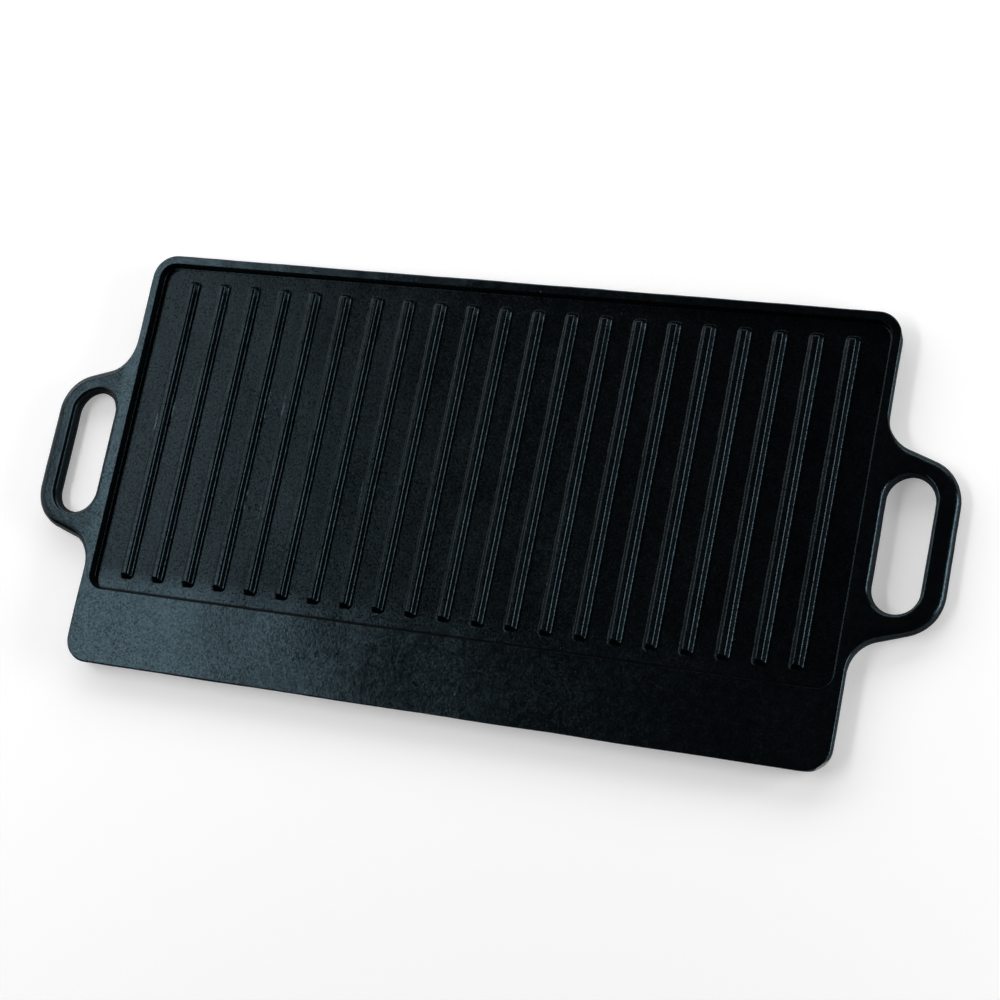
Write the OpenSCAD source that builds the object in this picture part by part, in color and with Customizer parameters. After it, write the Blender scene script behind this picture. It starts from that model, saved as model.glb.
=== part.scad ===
// Camp griddle plate: one reversible iron casting with a ribbed face and a flat face.
// It lies on its flat face with the ribs up, the wide ledge to the front (-Y) and a loop handle
// at each short side. Sizes are in millimetres.

/* [Plate] */
// Length of the plate between the two handle sides
plate_length = 424; // [300:1:520]
// Depth of the plate from the ledge edge to the back edge
plate_depth = 231.7; // [180:0.1:300]
// Height of the rim and the ledge above the flat face
edge_height = 10.5; // [9:0.1:14]
// Radius of the four plate corners, seen from above
corner_radius = 13.5; // [8:0.1:18]

/* [Recess] */
// Width of the raised rim on the back and on both sides
rim_width = 4.8; // [3.5:0.1:7]
// Width of the flat ledge along the front
ledge_width = 40.4; // [36:0.2:50]
// Depth of the recess floor below the rim
recess_depth = 5.2; // [4:0.1:5.6]
// Radius of the recess corners, seen from above
recess_radius = 8.6; // [5:0.1:12]

/* [Ribs] */
// Number of ribs across the recess
rib_count = 21; // [9:2:21]
// Distance from the recess side wall to the middle of the first rib
rib_side_gap = 20.1; // [14:0.1:26]
// Distance from the recess wall to each rib end
rib_end_gap = 8.8; // [6:0.1:16]
// Height of a rib above the recess floor
rib_height = 3.9; // [2.5:0.1:4]
// Width of a rib at its crest, before the edges are rounded
rib_crest = 3.5; // [3.2:0.1:5]
// Slope of the rib flanks and ends, in degrees from upright
rib_draft = 20; // [10:1:26]
// Radius of the rounded crest edges
rib_round = 1.1; // [0.4:0.1:1.2]

/* [Handles] */
// How far a handle stands out from the plate side
handle_reach = 40.8; // [38:0.1:50]
// Width of the outer bar of a handle
bar_width = 11.6; // [10:0.1:13]
// Thickness of a handle at its outer bar
bar_height = 7.7; // [7:0.1:9]
// Clear width of the finger opening
grip_width = 24.8; // [20:0.1:26]
// Clear length of the finger opening
grip_length = 69; // [60:0.5:74]
// Width of a handle where its straight edges would meet the plate side
root_width = 103.5; // [102:0.5:116]
// Slope of those straight edges, in degrees
root_slope = 18.5; // [14:0.5:20]
// Radius of the hollow curve from the plate side into a handle
root_radius = 18; // [12:0.5:20]
// Radius of the outer handle corners
tip_radius = 22.5; // [18:0.5:26]
// Width of the strip on the plate side that a handle grows from
pad_width = 0.2; // [0.2:0.1:2.5]

/* [Grease trough] */
// Depth of the trough in the flat face, under the ledge
trough_depth = 4; // [2:0.1:5]
// Width of the trough
trough_width = 25; // [16:0.5:25]
// Distance from the trough to the plate edges around it
trough_margin = 8; // [6:0.5:8]
// Radius of the trough corners, seen from above
trough_radius = 7; // [4:0.5:8]

/* [Hidden] */
$fn = 96;
iron = [0.16, 0.17, 0.19];
rib_iron = [0.23, 0.24, 0.26];
// Cutters run this far past the faces that they open
run_out = 1;

half_length = plate_length / 2;
half_depth = plate_depth / 2;
bed_height = edge_height - recess_depth;

recess_length = plate_length - 2 * rim_width;
recess_back = half_depth - rim_width;
recess_front = ledge_width - half_depth;
recess_span = recess_back - recess_front;
recess_middle = (recess_back + recess_front) / 2;
// The side rims run between the recess corners
side_back = recess_back - recess_radius;
side_front = recess_front + recess_radius;

rib_pitch = (recess_length - 2 * rib_side_gap) / (rib_count - 1);
rib_length = recess_span - 2 * rib_end_gap;
rib_flare = rib_height * tan(rib_draft);
rib_base = rib_crest + 2 * rib_flare;

// Handle plan: x outwards from the middle of the plate, y from the middle of the handle
slope_sin = sin(root_slope);
slope_cos = cos(root_slope);
tip_x = half_length + handle_reach - tip_radius;
tip_y = (root_width - 2 * (handle_reach - tip_radius) * tan(root_slope)) / 2 - tip_radius / slope_cos;
root_x = half_length + root_radius;
root_y = root_width / 2 + root_radius * (1 - slope_sin) / slope_cos;
grip_x = half_length + handle_reach - bar_width - grip_width / 2;
grip_end_y = (grip_length - grip_width) / 2;
handle_start = half_length + pad_width;
handle_end = half_length + handle_reach;
handle_tilt = atan((edge_height - bar_height) / 2 / (handle_end - handle_start));

trough_length = plate_length - 2 * trough_margin;
trough_y = trough_margin + trough_width / 2 - half_depth;

function rib_name(index) = str("rib_", index < 10 ? "0" : "", index);

// Sub-part to draw, or all of them

// Plan view: a rectangle with round corners
module round_rectangle(length, width, radius) {
    square([length - 2 * radius, width], center = true);
    square([length, width - 2 * radius], center = true);
    for (x = [-1, 1], y = [-1, 1])
        translate([x * (length / 2 - radius), y * (width / 2 - radius)])
            circle(radius);
}

// Plan view: the recess
module recess_plan() {
    translate([0, recess_middle])
        round_rectangle(recess_length, recess_span, recess_radius);
}

// Plan view: the raised frame around the recess, ledge included
module frame_plan() {
    difference() {
        round_rectangle(plate_length, plate_depth, corner_radius);
        recess_plan();
    }
}

// Plan view: the right handle grown out of the rim, before its finger opening
module handle_plan() {
    difference() {
        polygon([
            [half_length - rim_width, -root_y],
            [half_length, -root_y],
            [root_x - root_radius * slope_sin, -root_y + root_radius * slope_cos],
            [tip_x + tip_radius * slope_sin, -tip_y - tip_radius * slope_cos],
            [handle_end, -tip_y],
            [handle_end, tip_y],
            [tip_x + tip_radius * slope_sin, tip_y + tip_radius * slope_cos],
            [root_x - root_radius * slope_sin, root_y - root_radius * slope_cos],
            [half_length, root_y],
            [half_length - rim_width, root_y]
        ]);
        for (side = [-1, 1])
            translate([root_x, side * root_y])
                circle(root_radius);
    }
    for (side = [-1, 1])
        translate([tip_x, side * tip_y])
            circle(tip_radius);
}

// Plan view: the finger opening of the right handle
module grip_plan() {
    translate([grip_x, 0])
        square([grip_width, 2 * grip_end_y], center = true);
    for (side = [-1, 1])
        translate([grip_x, side * grip_end_y])
            circle(grip_width / 2);
}

// Plan view: everything between two x and two y values
module window(x_from, x_to, y_from, y_to) {
    translate([x_from, y_from])
        square([x_to - x_from, y_to - y_from]);
}

// Cross-section of a rib, or its long section, with rounded crest edges
module rib_section(crest) {
    round_x = crest / 2 - rib_round * (1 - sin(rib_draft)) / cos(rib_draft);
    flank_x = round_x + rib_round * cos(rib_draft);
    flank_y = rib_height - rib_round * (1 - sin(rib_draft));
    polygon([
        [-crest / 2 - rib_flare, 0],
        [crest / 2 + rib_flare, 0],
        [flank_x, flank_y],
        [round_x, rib_height],
        [-round_x, rib_height],
        [-flank_x, flank_y]
    ]);
    for (side = [-1, 1])
        translate([side * round_x, rib_height - rib_round])
            circle(rib_round);
}

// Cooking web under the recess
module bed() {
    color(iron)
        linear_extrude(bed_height)
            recess_plan();
}

// Rim along the back, with both back corners
module back_rim() {
    color(iron)
        linear_extrude(edge_height)
            intersection() {
                frame_plan();
                window(-half_length, half_length, side_back, half_depth);
            }
}

// Rim at the right side, with the strip that the handle grows from
module right_rim() {
    color(iron)
        linear_extrude(edge_height)
            union() {
                window(half_length - rim_width, half_length, side_front, side_back);
                intersection() {
                    handle_plan();
                    window(half_length, handle_start, -root_y, root_y);
                }
            }
}

// Rim at the left side
module left_rim() {
    mirror([1, 0, 0])
        right_rim();
}

// Wide ledge along the front, with both front corners and the grease trough below
module front_ledge() {
    color(iron)
        difference() {
            linear_extrude(edge_height)
                intersection() {
                    frame_plan();
                    window(-half_length, half_length, -half_depth, side_front);
                }
            translate([0, trough_y, -run_out])
                linear_extrude(trough_depth + run_out)
                    round_rectangle(trough_length, trough_width, trough_radius);
        }
}

// Loop handle at the right side, thinner towards its outer bar
module right_handle() {
    color(iron)
        difference() {
            linear_extrude(edge_height)
                difference() {
                    intersection() {
                        handle_plan();
                        window(handle_start, handle_end, -root_y, root_y);
                    }
                    grip_plan();
                }
            for (face = [0, 1])
                translate([handle_start, 0, edge_height / 2])
                    mirror([0, 0, face])
                        translate([0, 0, edge_height / 2])
                            rotate([0, handle_tilt, 0])
                                translate([-run_out, -root_y, 0])
                                    cube([handle_reach + 2 * run_out, 2 * root_y, edge_height]);
        }
}

// Loop handle at the left side
module left_handle() {
    mirror([1, 0, 0])
        right_handle();
}

// One grill rib on the recess floor, counted from the left
module rib(index) {
    rib_x = (index - (rib_count + 1) / 2) * rib_pitch;
    color(rib_iron)
        translate([rib_x, recess_middle, bed_height])
            intersection() {
                rotate([90, 0, 0])
                    linear_extrude(rib_length + 2 * run_out, center = true)
                        rib_section(rib_crest);
                rotate([90, 0, 90])
                    linear_extrude(rib_base + 2 * run_out, center = true)
                        rib_section(rib_length - 2 * rib_flare);
            }
}

bed();
back_rim();
left_rim();
right_rim();
front_ledge();
left_handle();
right_handle();
for (index = [1 : rib_count])
    rib(index);
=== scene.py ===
import math

import bmesh
import bpy
import numpy as np
from mathutils import Euler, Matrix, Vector, kdtree
from mathutils.geometry import delaunay_2d_cdt


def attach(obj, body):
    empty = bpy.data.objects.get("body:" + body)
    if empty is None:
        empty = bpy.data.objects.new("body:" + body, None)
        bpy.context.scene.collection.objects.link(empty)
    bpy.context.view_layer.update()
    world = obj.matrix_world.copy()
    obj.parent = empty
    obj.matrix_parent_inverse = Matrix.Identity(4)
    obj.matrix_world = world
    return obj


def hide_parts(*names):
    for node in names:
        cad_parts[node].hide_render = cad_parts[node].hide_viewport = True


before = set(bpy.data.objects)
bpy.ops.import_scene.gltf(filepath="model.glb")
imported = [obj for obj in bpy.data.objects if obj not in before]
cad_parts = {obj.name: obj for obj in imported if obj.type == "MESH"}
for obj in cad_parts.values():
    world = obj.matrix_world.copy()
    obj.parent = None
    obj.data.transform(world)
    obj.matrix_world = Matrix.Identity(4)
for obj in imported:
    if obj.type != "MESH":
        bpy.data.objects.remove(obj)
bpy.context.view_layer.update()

MM = 0.001
QUARTER = math.pi / 2

# Plate and recess, in millimetres, as in the part's source
HALF_LENGTH = 212.0
HALF_DEPTH = 115.85
EDGE_HEIGHT = 10.5
CORNER_RADIUS = 13.5
RIM_WIDTH = 4.8
LEDGE_WIDTH = 40.4
RECESS_DEPTH = 5.2
RECESS_RADIUS = 8.6
MID_HEIGHT = EDGE_HEIGHT / 2
BED_HEIGHT = EDGE_HEIGHT - RECESS_DEPTH
RECESS_HALF = HALF_LENGTH - RIM_WIDTH
RECESS_BACK = HALF_DEPTH - RIM_WIDTH
RECESS_FRONT = LEDGE_WIDTH - HALF_DEPTH
RECESS_MIDDLE = (RECESS_BACK + RECESS_FRONT) / 2
RECESS_SPAN = RECESS_BACK - RECESS_FRONT

# Ribs
RIB_COUNT = 21
RIB_SIDE_GAP = 20.1
RIB_END_GAP = 8.8
RIB_HEIGHT = 3.9
RIB_CREST = 3.5
RIB_DRAFT = math.radians(20)
RIB_ROUND = 1.3
RIB_FOOT = 2.0
RIB_SKIRT = 1.8
RIB_CORNER = 1.7
RIB_CREST_CORNER = 0.5
RIB_SEAT = 0.3
FOOT_SINK = 0.04
RIB_TOP = BED_HEIGHT + RIB_HEIGHT
RIB_PITCH = 2 * (RECESS_HALF - RIB_SIDE_GAP) / (RIB_COUNT - 1)
RIB_LENGTH = RECESS_SPAN - 2 * RIB_END_GAP
RIB_FLARE = RIB_HEIGHT * math.tan(RIB_DRAFT)
RIB_BASE = RIB_CREST + 2 * RIB_FLARE
RIB_SHOULDER = RIB_FLARE + RIB_ROUND * 0.72

# Handles
HANDLE_REACH = 40.8
BAR_WIDTH = 11.6
BAR_HEIGHT = 7.7
BAR_DROOP = 0.6
GRIP_WIDTH = 24.8
GRIP_LENGTH = 69.0
GRIP_END_FLAT = 0.01
ROOT_WIDTH = 103.5
ROOT_SLOPE = math.radians(18.5)
ROOT_RADIUS = 18.0
TIP_RADIUS = 22.5
PAD_WIDTH = 0.2
HANDLE_START = HALF_LENGTH + PAD_WIDTH
HANDLE_END = HALF_LENGTH + HANDLE_REACH
GRIP_X = HANDLE_END - BAR_WIDTH - GRIP_WIDTH / 2

# Grease trough under the ledge
TROUGH_DEPTH = 4.0
TROUGH_WIDTH = 25.0
TROUGH_MARGIN = 8.0
TROUGH_RADIUS = 7.0
TROUGH_FRONT = TROUGH_MARGIN - HALF_DEPTH

# As-cast edges
PLATE_ROUND = 0.9
PLATE_ROUND_BELOW = 1.2
HANDLE_ROUND = 4.1
HANDLE_ROUND_BELOW = 2.0
ROUND_LEAD = 2.0
ROUND_RUN = 14.0
EDGE_SHOULDER = 1.12
PLATE_UNDERCUT = 1.5
HANDLE_LEAN = 0.2
GRIP_ROUND = 2.2
GRIP_ROUND_BELOW = 1.5
GRIP_LEAN = 1.1
GRIP_SHIFT = GRIP_LEAN * 0.2
PARTING_RIDGE = 0.16
PARTING_HALF = 0.5
RECESS_LIP = 0.25
LIP_RUN = RECESS_LIP * 0.95
LIP_REACH = RECESS_LIP * 0.9
RECESS_FILLET = 0.8
RIGHT_FILLET = 1.4
FRONT_FILLET = 0.15
FILLET_EASE = 1.0
RECESS_RUN = RECESS_DEPTH * math.tan(math.radians(7))
TROUGH_LIP = 1.2
TROUGH_FILLET = 2.4
TROUGH_RUN = 1.2

# Upward part of the normal, between which a face turns from wall or flank to flat
WALL_STEEP = 0.25
WALL_FLAT = 0.8
FLANK_STEEP = 0.8
FLANK_FLAT = 0.93

# Dullness of the reflection: 0 on the ledge, 1 in the corner beside the ledge, where the darkness is
# painted shade
FLOOR_DULLNESS = 0.5
GUTTER_DULLNESS = 0.15
GUTTER_FADE_FRONT = 3.0
GUTTER_FADE_BACK = 6.0
# Width and fade of the painted shade in the corner beside the ledge
CORNER_SHADE_WIDTH = 2.7
CORNER_SHADE_FADE = 1.1
LIP_FADE = 0.05
WALL_ZONE = 3.0

# Share of that dullness which the rib crests have lost, and the heights between which they lose it
CREST_WEAR = 0.28
WEAR_START = BED_HEIGHT + 0.3
WEAR_END = RIB_TOP - 0.5

# Unevenness of the sand mould
SWELL_SIZE = 60.0
SWELL_HEIGHT = 0.1
RIPPLE_SIZE = 15.0
RIPPLE_HEIGHT = 0.03
WAVES = 9
WAVE_SHORTEST = 0.7
WAVE_SPREAD = 0.6
GOLDEN_ANGLE = 2.39996

# Mesh steps and tolerances
LOOP_STEP = 2.0
ROOT_STEP = 1.4
GRIP_STEP = 1.2
FILL_STEP = 6.0
ROW_PITCH = 0.87
FILL_CLEARANCE = 0.6
ARC_STEPS = 6
RIB_STEP = 1.6
RIB_ARC_STEPS = 5
RIB_CORNER_STEPS = 5
RIB_SIDE_STEPS = 106
RIB_END_STEPS = 2
SAME_PLACE = 1e-6
CUT_TOLERANCE = 1e-7
LEAST_LENGTH = 1e-12
LEAST_AGREEMENT = 0.2

# Seasoned iron
LEDGE_SHEEN = (0.49, 0.82, 1.0, 1)
FLOOR_SHEEN = (0.205, 0.342, 0.416, 1)
# Sheen left in the corner beside the ledge, where it is darkened as painted shade
CORNER_SHADE_SHEEN = (0.03, 0.05, 0.06, 1)
DARK_IRON = (0.0009, 0.0012, 0.0015, 1)
LIGHT_IRON = (0.002, 0.0024, 0.0028, 1)
IRON_SPECULAR = 0.24
WALL_ROUGHNESS = 0.9
SKIN_RELIEF = 0.00006
NOISE_LOW = 0.3
NOISE_HIGH = 0.7

# Floor and studio, in metres
WHITE = (1, 1, 1, 1)
FLOOR_HALF = 15.0
FLOOR_COLOUR = (0.86, 0.86, 0.86, 1)
FLOOR_GLOW_HALF = 0.3
FLOOR_GLOW_LEFT = 0.33
FLOOR_GLOW_RIGHT = 0.27
SKY_LOW = 0.02
SKY_HIGH = 0.3
SKY_GLOW_LOW = 0.35
SKY_GLOW_HIGH = 0.015

# Camera at the photo's angle: place in millimetres, turn in degrees
CAMERA_SENSOR = 36
CAMERA_LENS = 88.584
CAMERA_PLACE = (495.64, -261.45, 1144.95)
CAMERA_TURN = (16.3101, 19.9286, 11.9889)
CAMERA_NEAR = 0.05


def smooth_step(low, high, value):
    t = min(1.0, max(0.0, (value - low) / (high - low)))
    return t * t * (3 - 2 * t)


# Outlines: lists of (x, y, nx, ny), counter-clockwise, with the normal pointing outwards
def line_part(start, end, step=LOOP_STEP):
    length = math.hypot(end[0] - start[0], end[1] - start[1])
    count = max(1, round(length / step))
    nx = (end[1] - start[1]) / length
    ny = (start[0] - end[0]) / length
    return [
        (start[0] + (end[0] - start[0]) * i / count, start[1] + (end[1] - start[1]) * i / count, nx, ny)
        for i in range(count)
    ]


def arc_part(centre, radius, start, end, step=LOOP_STEP):
    count = max(ARC_STEPS, round(abs(end - start) * radius / step))
    side = 1 if end > start else -1
    part = []
    for i in range(count):
        angle = start + (end - start) * i / count
        c, s = math.cos(angle), math.sin(angle)
        part.append((centre[0] + radius * c, centre[1] + radius * s, side * c, side * s))
    return part


def round_rectangle(x_half, y_low, y_high, radius, step=LOOP_STEP, centre_x=0.0):
    right, left = centre_x + x_half, centre_x - x_half
    return (
        line_part((left + radius, y_low), (right - radius, y_low), step)
        + arc_part((right - radius, y_low + radius), radius, -QUARTER, 0, step)
        + line_part((right, y_low + radius), (right, y_high - radius), step)
        + arc_part((right - radius, y_high - radius), radius, 0, QUARTER, step)
        + line_part((right - radius, y_high), (left + radius, y_high), step)
        + arc_part((left + radius, y_high - radius), radius, QUARTER, 2 * QUARTER, step)
        + line_part((left, y_high - radius), (left, y_low + radius), step)
        + arc_part((left + radius, y_low + radius), radius, 2 * QUARTER, 3 * QUARTER, step)
    )


def casting_outline():
    """The plate with both handles: the right half, then its mirror image."""
    sin_s, cos_s = math.sin(ROOT_SLOPE), math.cos(ROOT_SLOPE)
    tip_x = HANDLE_END - TIP_RADIUS
    tip_y = ROOT_WIDTH / 2 - (HANDLE_REACH - TIP_RADIUS) * math.tan(ROOT_SLOPE) - TIP_RADIUS / cos_s
    root_x = HALF_LENGTH + ROOT_RADIUS
    root_y = ROOT_WIDTH / 2 + ROOT_RADIUS * (1 - sin_s) / cos_s
    turn = QUARTER - ROOT_SLOPE
    root_edge = (root_x - ROOT_RADIUS * sin_s, root_y - ROOT_RADIUS * cos_s)
    tip_edge = (tip_x + TIP_RADIUS * sin_s, tip_y + TIP_RADIUS * cos_s)
    corner_x, corner_y = HALF_LENGTH - CORNER_RADIUS, HALF_DEPTH - CORNER_RADIUS
    half = (
        line_part((0, -HALF_DEPTH), (corner_x, -HALF_DEPTH))
        + arc_part((corner_x, -corner_y), CORNER_RADIUS, -QUARTER, 0)
        + line_part((HALF_LENGTH, -corner_y), (HALF_LENGTH, -root_y))
        + arc_part((root_x, -root_y), ROOT_RADIUS, math.pi, QUARTER + ROOT_SLOPE, ROOT_STEP)
        + line_part((root_edge[0], -root_edge[1]), (tip_edge[0], -tip_edge[1]), ROOT_STEP)
        + arc_part((tip_x, -tip_y), TIP_RADIUS, -turn, 0, ROOT_STEP)
        + line_part((HANDLE_END, -tip_y), (HANDLE_END, tip_y), ROOT_STEP)
        + arc_part((tip_x, tip_y), TIP_RADIUS, 0, turn, ROOT_STEP)
        + line_part(tip_edge, root_edge, ROOT_STEP)
        + arc_part((root_x, root_y), ROOT_RADIUS, -QUARTER - ROOT_SLOPE, -math.pi, ROOT_STEP)
        + line_part((HALF_LENGTH, root_y), (HALF_LENGTH, corner_y))
        + arc_part((corner_x, corner_y), CORNER_RADIUS, 0, QUARTER)
        + line_part((corner_x, HALF_DEPTH), (0, HALF_DEPTH))
        + [(0.0, HALF_DEPTH, 0.0, 1.0)]
    )
    mirrored = [(-x, y, -nx, ny) for x, y, nx, ny in reversed(half[1:-1])]
    return half + mirrored


def grip_outline(side):
    half_length = GRIP_LENGTH / 2
    radius = GRIP_WIDTH / 2 - GRIP_END_FLAT
    return round_rectangle(GRIP_WIDTH / 2, -half_length, half_length, radius, GRIP_STEP, side * GRIP_X)


# Sections: corner points (inset, height, radius) turned into a polyline with round corners
def rounded(corners, steps=ARC_STEPS):
    path = [(corners[0][0], corners[0][1])]
    for before, corner, after in zip(corners, corners[1:], corners[2:]):
        here = Vector((corner[0], corner[1]))
        to_before = (Vector((before[0], before[1])) - here).normalized()
        to_after = (Vector((after[0], after[1])) - here).normalized()
        inner = to_before.angle(to_after)
        reach = corner[2] / math.tan(inner / 2)
        middle = here + (to_before + to_after).normalized() * (corner[2] / math.sin(inner / 2))
        start, end = here + to_before * reach - middle, here + to_after * reach - middle
        turn = start.angle_signed(end)
        base = math.atan2(start.y, start.x)
        for i in range(steps + 1):
            angle = base - turn * i / steps
            path.append((middle.x + corner[2] * math.cos(angle), middle.y + corner[2] * math.sin(angle)))
    path.append((corners[-1][0], corners[-1][1]))
    return path


def edge_section(above, below, lean_above, lean_below, ridge_height=PARTING_RIDGE):
    """Section of an edge: insets of its upper and lower corner against the parting line."""
    lower, upper = (
        rounded([(lean + radius * EDGE_SHOULDER, 0, 0), (lean, 0, radius), (0, MID_HEIGHT, 0)])[:-1]
        for radius, lean in ((below, lean_below), (above, lean_above))
    )
    ridge = [
        (lean_below * PARTING_HALF / MID_HEIGHT, MID_HEIGHT - PARTING_HALF),
        (-ridge_height, MID_HEIGHT),
        (lean_above * PARTING_HALF / MID_HEIGHT, MID_HEIGHT + PARTING_HALF),
    ]
    return lower + ridge + [(d, EDGE_HEIGHT - z) for d, z in reversed(upper)]


def outer_section(x, y):
    """The plate's edge, which turns into the rounder edge of a handle."""
    grown = smooth_step(HALF_LENGTH - ROUND_LEAD, HALF_LENGTH + ROUND_RUN, abs(x))

    def blend(plate, handle):
        return plate + (handle - plate) * grown

    half_cut = PLATE_UNDERCUT / 2
    section = edge_section(
        blend(PLATE_ROUND, HANDLE_ROUND),
        blend(PLATE_ROUND_BELOW, HANDLE_ROUND_BELOW),
        blend(-half_cut, HANDLE_LEAN),
        blend(half_cut, HANDLE_LEAN),
        blend(0, PARTING_RIDGE),
    )
    return [(inset + blend(half_cut, 0), z) for inset, z in section]


def grip_section(x, y):
    section = edge_section(GRIP_ROUND, GRIP_ROUND_BELOW, GRIP_LEAN, GRIP_LEAN)
    return [(inset - GRIP_SHIFT, z) for inset, z in section]


def recess_section(x, y):
    """The recess wall, with a softer foot at the right and a sharper one at the front."""
    at_right = smooth_step(RECESS_HALF - RECESS_RADIUS, RECESS_HALF - FILLET_EASE, x)
    at_front = 1 - smooth_step(RECESS_FRONT + FILLET_EASE, RECESS_FRONT + RECESS_RADIUS, y)
    softer = (RIGHT_FILLET - RECESS_FILLET) * at_right
    sharper = (FRONT_FILLET - RECESS_FILLET) * at_front
    fillet = RECESS_FILLET + softer + sharper
    return rounded(
        [
            (-LIP_RUN, EDGE_HEIGHT, 0),
            (0, EDGE_HEIGHT, RECESS_LIP),
            (RECESS_RUN, BED_HEIGHT, fillet),
            (RECESS_RUN + fillet, BED_HEIGHT, 0),
        ]
    )


def trough_section(x, y):
    return rounded(
        [
            (-TROUGH_LIP, 0, 0),
            (0, 0, TROUGH_LIP),
            (TROUGH_RUN, TROUGH_DEPTH, TROUGH_FILLET),
            (TROUGH_RUN + TROUGH_FILLET, TROUGH_DEPTH, 0),
        ]
    )


def rib_section():
    """From under the recess floor over the foot and the flank to the crest."""
    path = rounded(
        [
            (-RIB_SKIRT, BED_HEIGHT - FOOT_SINK, 0),
            (0, BED_HEIGHT - FOOT_SINK, RIB_FOOT),
            (RIB_FLARE, RIB_TOP, RIB_ROUND),
            (RIB_SHOULDER, RIB_TOP, 0),
        ],
        RIB_ARC_STEPS,
    )
    return [(-RIB_SKIRT, BED_HEIGHT - RIB_SEAT), *path]


def rib_ring(middle_x, inset, z):
    """One level of a rib, a rectangle with round corners, counter-clockwise."""
    radius = max(RIB_CREST_CORNER, RIB_CORNER - inset)
    half_x = RIB_BASE / 2 - inset - radius
    half_y = RIB_LENGTH / 2 - inset - radius
    ring = []
    for turn, (sx, sy) in enumerate(((1, -1), (1, 1), (-1, 1), (-1, -1))):
        for i in range(RIB_CORNER_STEPS + 1):
            angle = QUARTER * (turn - 1 + i / RIB_CORNER_STEPS)
            ring.append((sx * half_x + radius * math.cos(angle), sy * half_y + radius * math.sin(angle)))
        x, y = ring[-1]
        if turn % 2 == 0:
            ring += [(x, y - sy * 2 * half_y * i / RIB_SIDE_STEPS) for i in range(1, RIB_SIDE_STEPS)]
        else:
            ring += [(x - sx * 2 * half_x * i / RIB_END_STEPS, y) for i in range(1, RIB_END_STEPS)]
    return [(middle_x + x, RECESS_MIDDLE + y, z) for x, y in ring]


class Skin:
    """Collects the faces of one closed surface."""

    def __init__(self):
        self.points = []
        self.faces = []

    def sweep(self, outline, section, facing=1, flip=False):
        """Carries a section of (inset, height) points along an outline."""
        runs = [
            [(x - facing * nx * inset, y - facing * ny * inset, z) for inset, z in section(x, y)]
            for x, y, nx, ny in outline
        ]
        return self.loft(list(zip(*runs)), flip)

    def loft(self, levels, flip=False):
        """Joins rings of points, one above the other, and returns the first and the last ring."""
        rings = []
        for level in levels:
            rings.append(list(range(len(self.points), len(self.points) + len(level))))
            self.points += level
        count = len(rings[0])
        for low, high in zip(rings, rings[1:]):
            for i in range(count):
                k = (i + 1) % count
                quad = (low[i], low[k], high[k], high[i])
                self.faces.append(quad[::-1] if flip else quad)
        return rings[0], rings[-1]

    def fill(self, outer, holes=(), step=FILL_STEP, down=False):
        """Fills a flat ring, less its holes, with triangles over evenly placed points."""
        loops = [outer, *holes]
        flat = [Vector(self.points[v][:2]) for loop in loops for v in loop]
        known = [v for loop in loops for v in loop]
        edges, start = [], 0
        for loop in loops:
            edges += [(start + i, start + (i + 1) % len(loop)) for i in range(len(loop))]
            start += len(loop)
        near = kdtree.KDTree(len(flat))
        for i, p in enumerate(flat):
            near.insert((p.x, p.y, 0), i)
        near.balance()
        low_x, high_x = min(p.x for p in flat), max(p.x for p in flat)
        low_y, high_y = min(p.y for p in flat), max(p.y for p in flat)
        rows = [
            (low_x + (i + 0.5 * (j % 2)) * step, low_y + j * step * ROW_PITCH)
            for j in range(1, int((high_y - low_y) / step / ROW_PITCH) + 1)
            for i in range(1, int((high_x - low_x) / step) + 1)
        ]
        segments = [(flat[a], flat[b]) for a, b in edges]
        level = self.points[outer[0]][2]
        for (x, y), inside in zip(rows, within(rows, segments)):
            if inside and near.find((x, y, 0))[2] > step * FILL_CLEARANCE:
                known.append(len(self.points))
                self.points.append((x, y, level))
                flat.append(Vector((x, y)))
        _, _, triangles, origin, _, _ = delaunay_2d_cdt(flat, edges, [], 0, SAME_PLACE)
        names = [known[o[0]] for o in origin]
        middles = []
        for tri in triangles:
            corners = [self.points[names[c]] for c in tri]
            middles.append((sum(p[0] for p in corners) / 3, sum(p[1] for p in corners) / 3))
        for tri, inside in zip(triangles, within(middles, segments)):
            if inside:
                face = tuple(names[c] for c in tri)
                self.faces.append(face[::-1] if down else face)


def within(places, segments):
    """Which places lie inside the loops, by counting the edges to their right."""
    places = np.array(places, float).reshape(-1, 2)
    inside = np.zeros(len(places), bool)
    for a, b in segments:
        crosses = (a.y > places[:, 1]) != (b.y > places[:, 1])
        if a.y != b.y:
            crossing = a.x + (places[:, 1] - a.y) * (b.x - a.x) / (b.y - a.y)
            inside ^= crosses & (places[:, 0] < crossing)
    return inside


# Casting: from a skin's points to a surface with the mould's unevenness
def tapered(x, y, z):
    """Thins a handle towards its outer bar, which also sits a little lower."""
    out = max(0.0, (abs(x) - HANDLE_START) / (HANDLE_END - HANDLE_START))
    thin = 1 - out * (1 - BAR_HEIGHT / EDGE_HEIGHT)
    return x, y, MID_HEIGHT + (z - MID_HEIGHT) * thin - out * BAR_DROOP


def corner_normals(points, faces):
    """Point normals, with large faces counting for more."""
    normals = np.zeros_like(points)
    for corners in (3, 4):
        group = np.array([f for f in faces if len(f) == corners], int).reshape(-1, corners)
        first, last = points[group[:, 0]], points[group[:, -1]]
        second, across = points[group[:, 1]], points[group[:, 2]]
        if corners == 4:
            areas = np.cross(across - first, last - second)
        else:
            areas = np.cross(second - first, last - first)
        for column in group.T:
            np.add.at(normals, column, areas)
    return normals / np.maximum(np.linalg.norm(normals, axis=1), LEAST_LENGTH)[:, None]


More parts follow.
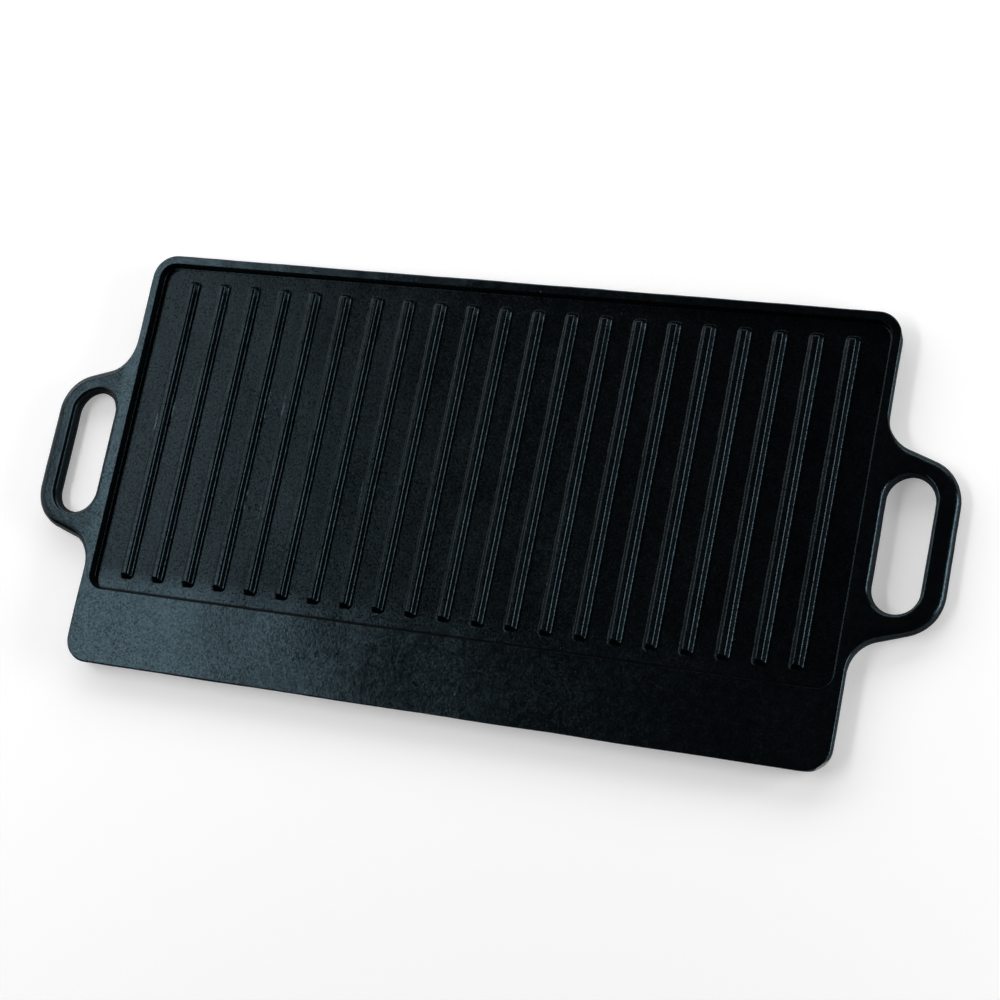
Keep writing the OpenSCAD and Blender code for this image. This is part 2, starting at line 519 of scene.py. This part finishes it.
def unevenness(points):
    """Slow swells and small ripples, as sums of waves in spread directions."""
    lift = np.zeros(len(points))
    for height, size in ((SWELL_HEIGHT, SWELL_SIZE), (RIPPLE_HEIGHT, RIPPLE_SIZE)):
        for i in range(WAVES):
            turn = GOLDEN_ANGLE * (i + 1)
            heading = np.array([math.cos(turn), math.sin(turn), math.cos(3 * turn)])
            length = size * (WAVE_SHORTEST + WAVE_SPREAD * i / WAVES)
            lift += height / math.sqrt(WAVES) * np.sin(points @ heading * math.tau / length + turn * size)
    return lift


def cast(skin):
    """Point places and normals after the taper and the mould's unevenness."""
    points = np.array([tapered(*p) for p in skin.points])
    normals = corner_normals(points, skin.faces)
    points = points + normals * unevenness(points)[:, None]
    points[:, 2] = np.maximum(points[:, 2], 0.0)
    return points, corner_normals(points, skin.faces)


def outer_wall(p, n):
    """1 on the steep outer walls, where the sand left the skin dull, 0 on the faces."""
    if abs(p[0]) < RECESS_HALF + RIM_WIDTH / 2 and abs(p[1]) < HALF_DEPTH - RIM_WIDTH / 2:
        return 0.0
    return 1 - smooth_step(WALL_STEEP, WALL_FLAT, abs(n[2]))


def past_lip(x, y):
    """How far a place lies outside the recess, negative inside it."""
    along = abs(x) - RECESS_HALF + RECESS_RADIUS
    across = abs(y - RECESS_MIDDLE) - RECESS_SPAN / 2 + RECESS_RADIUS
    return math.hypot(max(along, 0.0), max(across, 0.0)) + min(max(along, across), 0.0) - RECESS_RADIUS


def recess_dulling(p, n):
    """1 on the recess floor and walls, less on the rib crests, 0 on the rib flanks and elsewhere."""
    from_lip = past_lip(p[0], p[1])
    if from_lip > LIP_REACH or p[2] < BED_HEIGHT / 2:
        return 0.0
    # Full near the recess edge, on the walls and the lip too, where the painted shade beside the ledge lies
    if from_lip > -WALL_ZONE:
        return 1.0
    worn = CREST_WEAR * smooth_step(WEAR_START, WEAR_END, p[2])
    return smooth_step(FLANK_STEEP, FLANK_FLAT, n[2]) * (1 - worn)


def surface(skin):
    """The cast skin, with the normals and the two values for the material stored on its points."""
    points, normals = cast(skin)
    bm = bmesh.new()
    flow = bm.verts.layers.float_vector.new("flow")
    upright = bm.verts.layers.float.new("upright")
    sunk = bm.verts.layers.float.new("sunk")
    verts = []
    for p, n in zip(points, normals):
        vert = bm.verts.new(p * MM)
        vert[flow] = Vector(n)
        vert[upright] = outer_wall(p, n)
        vert[sunk] = recess_dulling(p, n)
        verts.append(vert)
    for face in skin.faces:
        bm.faces.new([verts[v] for v in face])
    return bm


def cut(bm, x, keep):
    """Keeps one side of an upright plane and closes the cut."""
    made = bmesh.ops.bisect_plane(
        bm,
        geom=bm.verts[:] + bm.edges[:] + bm.faces[:],
        dist=CUT_TOLERANCE,
        plane_co=(x, 0, 0),
        plane_no=(keep, 0, 0),
        clear_inner=True,
    )
    rim = [e for e in made["geom_cut"] if isinstance(e, bmesh.types.BMEdge)]
    bmesh.ops.holes_fill(bm, edges=rim, sides=0)


def shaded_mesh(name, bm):
    """Turns the surface into a mesh that keeps the normals stored on its points."""
    flow = bm.verts.layers.float_vector["flow"]
    bm.normal_update()
    normals = []
    for face in bm.faces:
        face.smooth = True
        for loop in face.loops:
            stored = loop.vert[flow]
            agrees = stored.dot(face.normal) > LEAST_AGREEMENT
            normals.append((stored if agrees else face.normal).normalized())
    mesh = bpy.data.meshes.new(name)
    bm.to_mesh(mesh)
    mesh.normals_split_custom_set(normals)
    bm.free()
    return mesh


def new_piece(name, bm, material, nodes):
    mesh = shaded_mesh(name, bm)
    mesh.materials.append(material)
    piece = bpy.data.objects.new(name, mesh)
    bpy.context.scene.collection.objects.link(piece)
    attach(piece, "root")
    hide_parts(*nodes)


class Graph:
    """Adds linked nodes to the tree of a material or a world."""

    def __init__(self, owner):
        owner.use_nodes = True
        self.nodes = owner.node_tree.nodes
        self.links = owner.node_tree.links

    def feed(self, node, **values):
        """Sets sockets, named with _ for a space, to a number or colour, or links them to an output."""
        for name, value in values.items():
            socket = node.inputs[name.replace("_", " ")]
            if isinstance(value, bpy.types.NodeSocket):
                self.links.new(value, socket)
            else:
                socket.default_value = value

    def node(self, kind, output, **values):
        made = self.nodes.new(kind)
        self.feed(made, **values)
        return made.outputs[output]

    def place(self, kind):
        return self.nodes.new("ShaderNodeTexCoord").outputs[kind]

    def axis(self, place, letter):
        return self.node("ShaderNodeSeparateXYZ", letter, Vector=place)

    def point_value(self, name):
        made = self.nodes.new("ShaderNodeAttribute")
        made.attribute_name = name
        return made.outputs["Fac"]

    def clouds(self, place, scale, detail, rough=0.5):
        return self.node(
            "ShaderNodeTexNoise", "Fac", Vector=place, Scale=scale, Detail=detail, Roughness=rough
        )

    def spread(self, value, low, high, to_low, to_high):
        return self.node(
            "ShaderNodeMapRange",
            "Result",
            Value=value,
            From_Min=low,
            From_Max=high,
            To_Min=to_low,
            To_Max=to_high,
        )

    def vary(self, noise, low, high):
        return self.spread(noise, NOISE_LOW, NOISE_HIGH, low, high)

    def maths(self, kind, a, b):
        made = self.nodes.new("ShaderNodeMath")
        made.operation = kind
        for socket, value in zip(made.inputs, (a, b)):
            if isinstance(value, bpy.types.NodeSocket):
                self.links.new(value, socket)
            else:
                socket.default_value = value
        return made.outputs["Value"]

    def total(self, *values):
        result = values[0]
        for value in values[1:]:
            result = self.maths("ADD", result, value)
        return result

    def weighted(self, *terms):
        """Sum of (value, weight) terms."""
        return self.total(*(self.maths("MULTIPLY", value, weight) for value, weight in terms))

    def scaled(self, colour, factor):
        made = self.nodes.new("ShaderNodeVectorMath")
        made.operation = "SCALE"
        self.feed(made, Vector=colour, Scale=factor)
        return made.outputs["Vector"]

    def ramp(self, factor, first, last, *between):
        """A colour ramp through (position, colour) stops."""
        made = self.nodes.new("ShaderNodeValToRGB")
        elements = made.color_ramp.elements
        for element, (position, colour) in zip(elements, (first, last)):
            element.position = position
            element.color = colour
        for position, colour in between:
            elements.new(position).color = colour
        self.feed(made, Fac=factor)
        return made.outputs["Color"]


def seasoned_iron():
    material = bpy.data.materials.new("seasoned_iron")
    graph = Graph(material)
    place = graph.place("Object")
    wall = graph.point_value("upright")
    sunk = graph.point_value("sunk")

    # The front gutter keeps most of its sheen, and its corner with the ledge is darkened with painted shade
    depth = graph.axis(place, "Y")
    gutter_end = RECESS_FRONT + RIB_END_GAP
    fade_front = (gutter_end - GUTTER_FADE_FRONT) * MM
    fade_back = (gutter_end + GUTTER_FADE_BACK) * MM
    duller = graph.spread(depth, fade_front, fade_back, GUTTER_DULLNESS, FLOOR_DULLNESS)
    # Painted shade: a dark strip from the lip over the corner where the recess floor meets the ledge
    lip = RECESS_FRONT - RECESS_LIP
    shade_end = RECESS_FRONT + CORNER_SHADE_WIDTH
    behind_lip = graph.spread(depth, (lip - LIP_FADE) * MM, lip * MM, 0.0, 1.0)
    before_end = graph.spread(depth, (shade_end - CORNER_SHADE_FADE) * MM, shade_end * MM, 1.0, 0.0)
    painted_shade = graph.maths("MULTIPLY", behind_lip, before_end)
    dullness_and_shade = graph.maths("MULTIPLY", sunk, graph.maths("MAXIMUM", duller, painted_shade))
    sheen = graph.ramp(dullness_and_shade, (0.0, LEDGE_SHEEN), (1.0, CORNER_SHADE_SHEEN), (FLOOR_DULLNESS, FLOOR_SHEEN))

    # Structure of the skin, from fine to coarse, and scattered pits
    sand = graph.clouds(place, 1900, 2)
    grain = graph.clouds(place, 900, 2)
    mottle = graph.clouds(place, 190, 5, 0.65)
    patches = graph.clouds(place, 26, 5, 0.6)
    specks = graph.node("ShaderNodeTexVoronoi", "Distance", Vector=place, Scale=130)
    rare = graph.spread(graph.clouds(place, 75, 1), 0.62, 0.68, 0.0, 1.0)
    pits = graph.maths("MULTIPLY", graph.spread(specks, 0.05, 0.16, 1.0, 0.0), rare)

    colour = graph.ramp(graph.weighted((patches, 0.5), (mottle, 0.5)), (0.3, DARK_IRON), (0.72, LIGHT_IRON))
    coarse = graph.spread(sunk, 0.0, 1.0, 1.0, 1.25)
    cloudy = graph.total(
        graph.vary(patches, 0.88, 1.1),
        graph.vary(mottle, -0.13, 0.13),
        graph.maths("MULTIPLY", graph.vary(grain, -0.62, 0.62), coarse),
    )
    roughness = graph.total(
        graph.vary(patches, 0.175, 0.215),
        graph.vary(mottle, -0.03, 0.03),
        graph.vary(grain, -0.03, 0.035),
        graph.weighted((pits, 0.25), (dullness_and_shade, 0.1)),
    )
    relief = graph.weighted((sand, 0.7), (grain, 0.9), (mottle, 0.4), (pits, -2.0))
    shader = graph.nodes["Principled BSDF"]
    graph.feed(
        shader,
        Metallic=0.0,
        Specular_IOR_Level=IRON_SPECULAR,
        Base_Color=colour,
        Specular_Tint=graph.scaled(sheen, cloudy),
        Roughness=graph.maths("MAXIMUM", roughness, graph.maths("MULTIPLY", wall, WALL_ROUGHNESS)),
        Normal=graph.node("ShaderNodeBump", "Normal", Height=relief, Strength=0.8, Distance=SKIN_RELIEF),
    )
    return material


iron = seasoned_iron()

# Plate and handles: one skin, then parted where the handles leave the plate
casting = Skin()
under, over = casting.sweep(casting_outline(), outer_section)
grips_under, grips_over = [], []
for side in (-1, 1):
    low, high = casting.sweep(grip_outline(side), grip_section, facing=-1, flip=True)
    grips_under.append(low)
    grips_over.append(high)
recess_outline = round_rectangle(RECESS_HALF, RECESS_FRONT, RECESS_BACK, RECESS_RADIUS)
recess_top, recess_floor = casting.sweep(recess_outline, recess_section)
trough_half = HALF_LENGTH - TROUGH_MARGIN
trough_outline = round_rectangle(trough_half, TROUGH_FRONT, TROUGH_FRONT + TROUGH_WIDTH, TROUGH_RADIUS)
trough_rim, trough_roof = casting.sweep(trough_outline, trough_section, flip=True)
casting.fill(over, [*grips_over, recess_top])
casting.fill(recess_floor)
casting.fill(under, [*grips_under, trough_rim], down=True)
casting.fill(trough_roof, down=True)

whole = surface(casting)
parting = HANDLE_START * MM
for name, node, side in (
    ("left_loop_handle", "left_handle", -1),
    ("right_loop_handle", "right_handle", 1),
):
    handle = whole.copy()
    cut(handle, side * parting, side)
    new_piece(name, handle, iron, [node])
cut(whole, parting, -1)
cut(whole, -parting, 1)
new_piece("plate_body", whole, iron, ["bed", "back_rim", "left_rim", "right_rim", "front_ledge"])

# Ribs
rib_levels = rib_section()
for index in range(1, RIB_COUNT + 1):
    rib_x = (index - (RIB_COUNT + 1) / 2) * RIB_PITCH
    rib = Skin()
    foot, crest = rib.loft([rib_ring(rib_x, inset, z) for inset, z in rib_levels])
    rib.fill(crest, step=RIB_STEP)
    rib.fill(foot, down=True)
    new_piece(f"grill_rib_{index:02d}", surface(rib), iron, [f"rib_{index:02d}"])


# Floor
def pale_floor():
    """Pale and matt, with a glow for what sees it directly, a little stronger at the left."""
    material = bpy.data.materials.new("pale_floor")
    graph = Graph(material)
    rays = graph.nodes.new("ShaderNodeLightPath").outputs
    seen = graph.maths("MAXIMUM", rays["Is Camera Ray"], rays["Is Glossy Ray"])
    seen = graph.maths("MAXIMUM", seen, rays["Is Transmission Ray"])
    across = graph.axis(graph.place("Object"), "X")
    glow = graph.spread(across, -FLOOR_GLOW_HALF, FLOOR_GLOW_HALF, FLOOR_GLOW_LEFT, FLOOR_GLOW_RIGHT)
    graph.feed(
        graph.nodes["Principled BSDF"],
        Base_Color=FLOOR_COLOUR,
        Roughness=0.9,
        Specular_IOR_Level=0.1,
        Emission_Color=WHITE,
        Emission_Strength=graph.maths("MULTIPLY", seen, glow),
    )
    return material


floor_corners = [(x * FLOOR_HALF, y * FLOOR_HALF, 0) for x, y in ((-1, -1), (1, -1), (1, 1), (-1, 1))]
floor_mesh = bpy.data.meshes.new("floor")
floor_mesh.from_pydata(floor_corners, [], [(0, 1, 2, 3)])
floor_mesh.materials.append(pale_floor())
floor = bpy.data.objects.new("floor", floor_mesh)
bpy.context.scene.collection.objects.link(floor)


# Studio light
def softbox(name, place, aim, width, height, power):
    data = bpy.data.lights.new(name, "AREA")
    data.shape = "RECTANGLE"
    data.size = width
    data.size_y = height
    data.energy = power
    lamp = bpy.data.objects.new(name, data)
    bpy.context.scene.collection.objects.link(lamp)
    lamp.location = place
    lamp.visible_camera = False
    lamp.rotation_euler = (Vector(aim) - Vector(place)).to_track_quat("-Z", "Y").to_euler()


softbox("left_softbox", (-1.14, 0.055, 1.65), aim=(-0.1, 0.32, 0), width=1.7, height=0.29, power=12.9)
softbox("left_fill", (-1.72, 0.2, 1.18), aim=(-0.1, -0.02, 0), width=1.6, height=1.15, power=6)
softbox("left_strip", (-2.0, 0.2, 0.62), aim=(-0.1, -0.02, 0), width=1.6, height=0.5, power=3.5)
softbox("right_softbox", (1.3, 0.1, 0.3), aim=(0.1, 0, 0), width=0.9, height=0.4, power=14.5)
softbox("back_softbox", (-0.7, 1.9, 1.0), aim=(0, 0, 0), width=5.0, height=1.0, power=54)

world = bpy.data.worlds.new("studio")
bpy.context.scene.world = world
sky = Graph(world)
up = sky.axis(sky.place("Generated"), "Z")
sky_glow = sky.spread(up, SKY_LOW, SKY_HIGH, SKY_GLOW_LOW, SKY_GLOW_HIGH)
sky.feed(sky.nodes["Background"], Color=WHITE, Strength=sky_glow)

# Camera
camera_data = bpy.data.cameras.new("camera")
camera_data.sensor_width = CAMERA_SENSOR
camera_data.lens = CAMERA_LENS
camera_data.clip_start = CAMERA_NEAR
camera = bpy.data.objects.new("camera", camera_data)
bpy.context.scene.collection.objects.link(camera)
camera.location = Vector(CAMERA_PLACE) * MM
camera.rotation_euler = Euler([math.radians(angle) for angle in CAMERA_TURN])
bpy.context.scene.camera = camera
bpy.context.scene.view_settings.view_transform = "Standard"
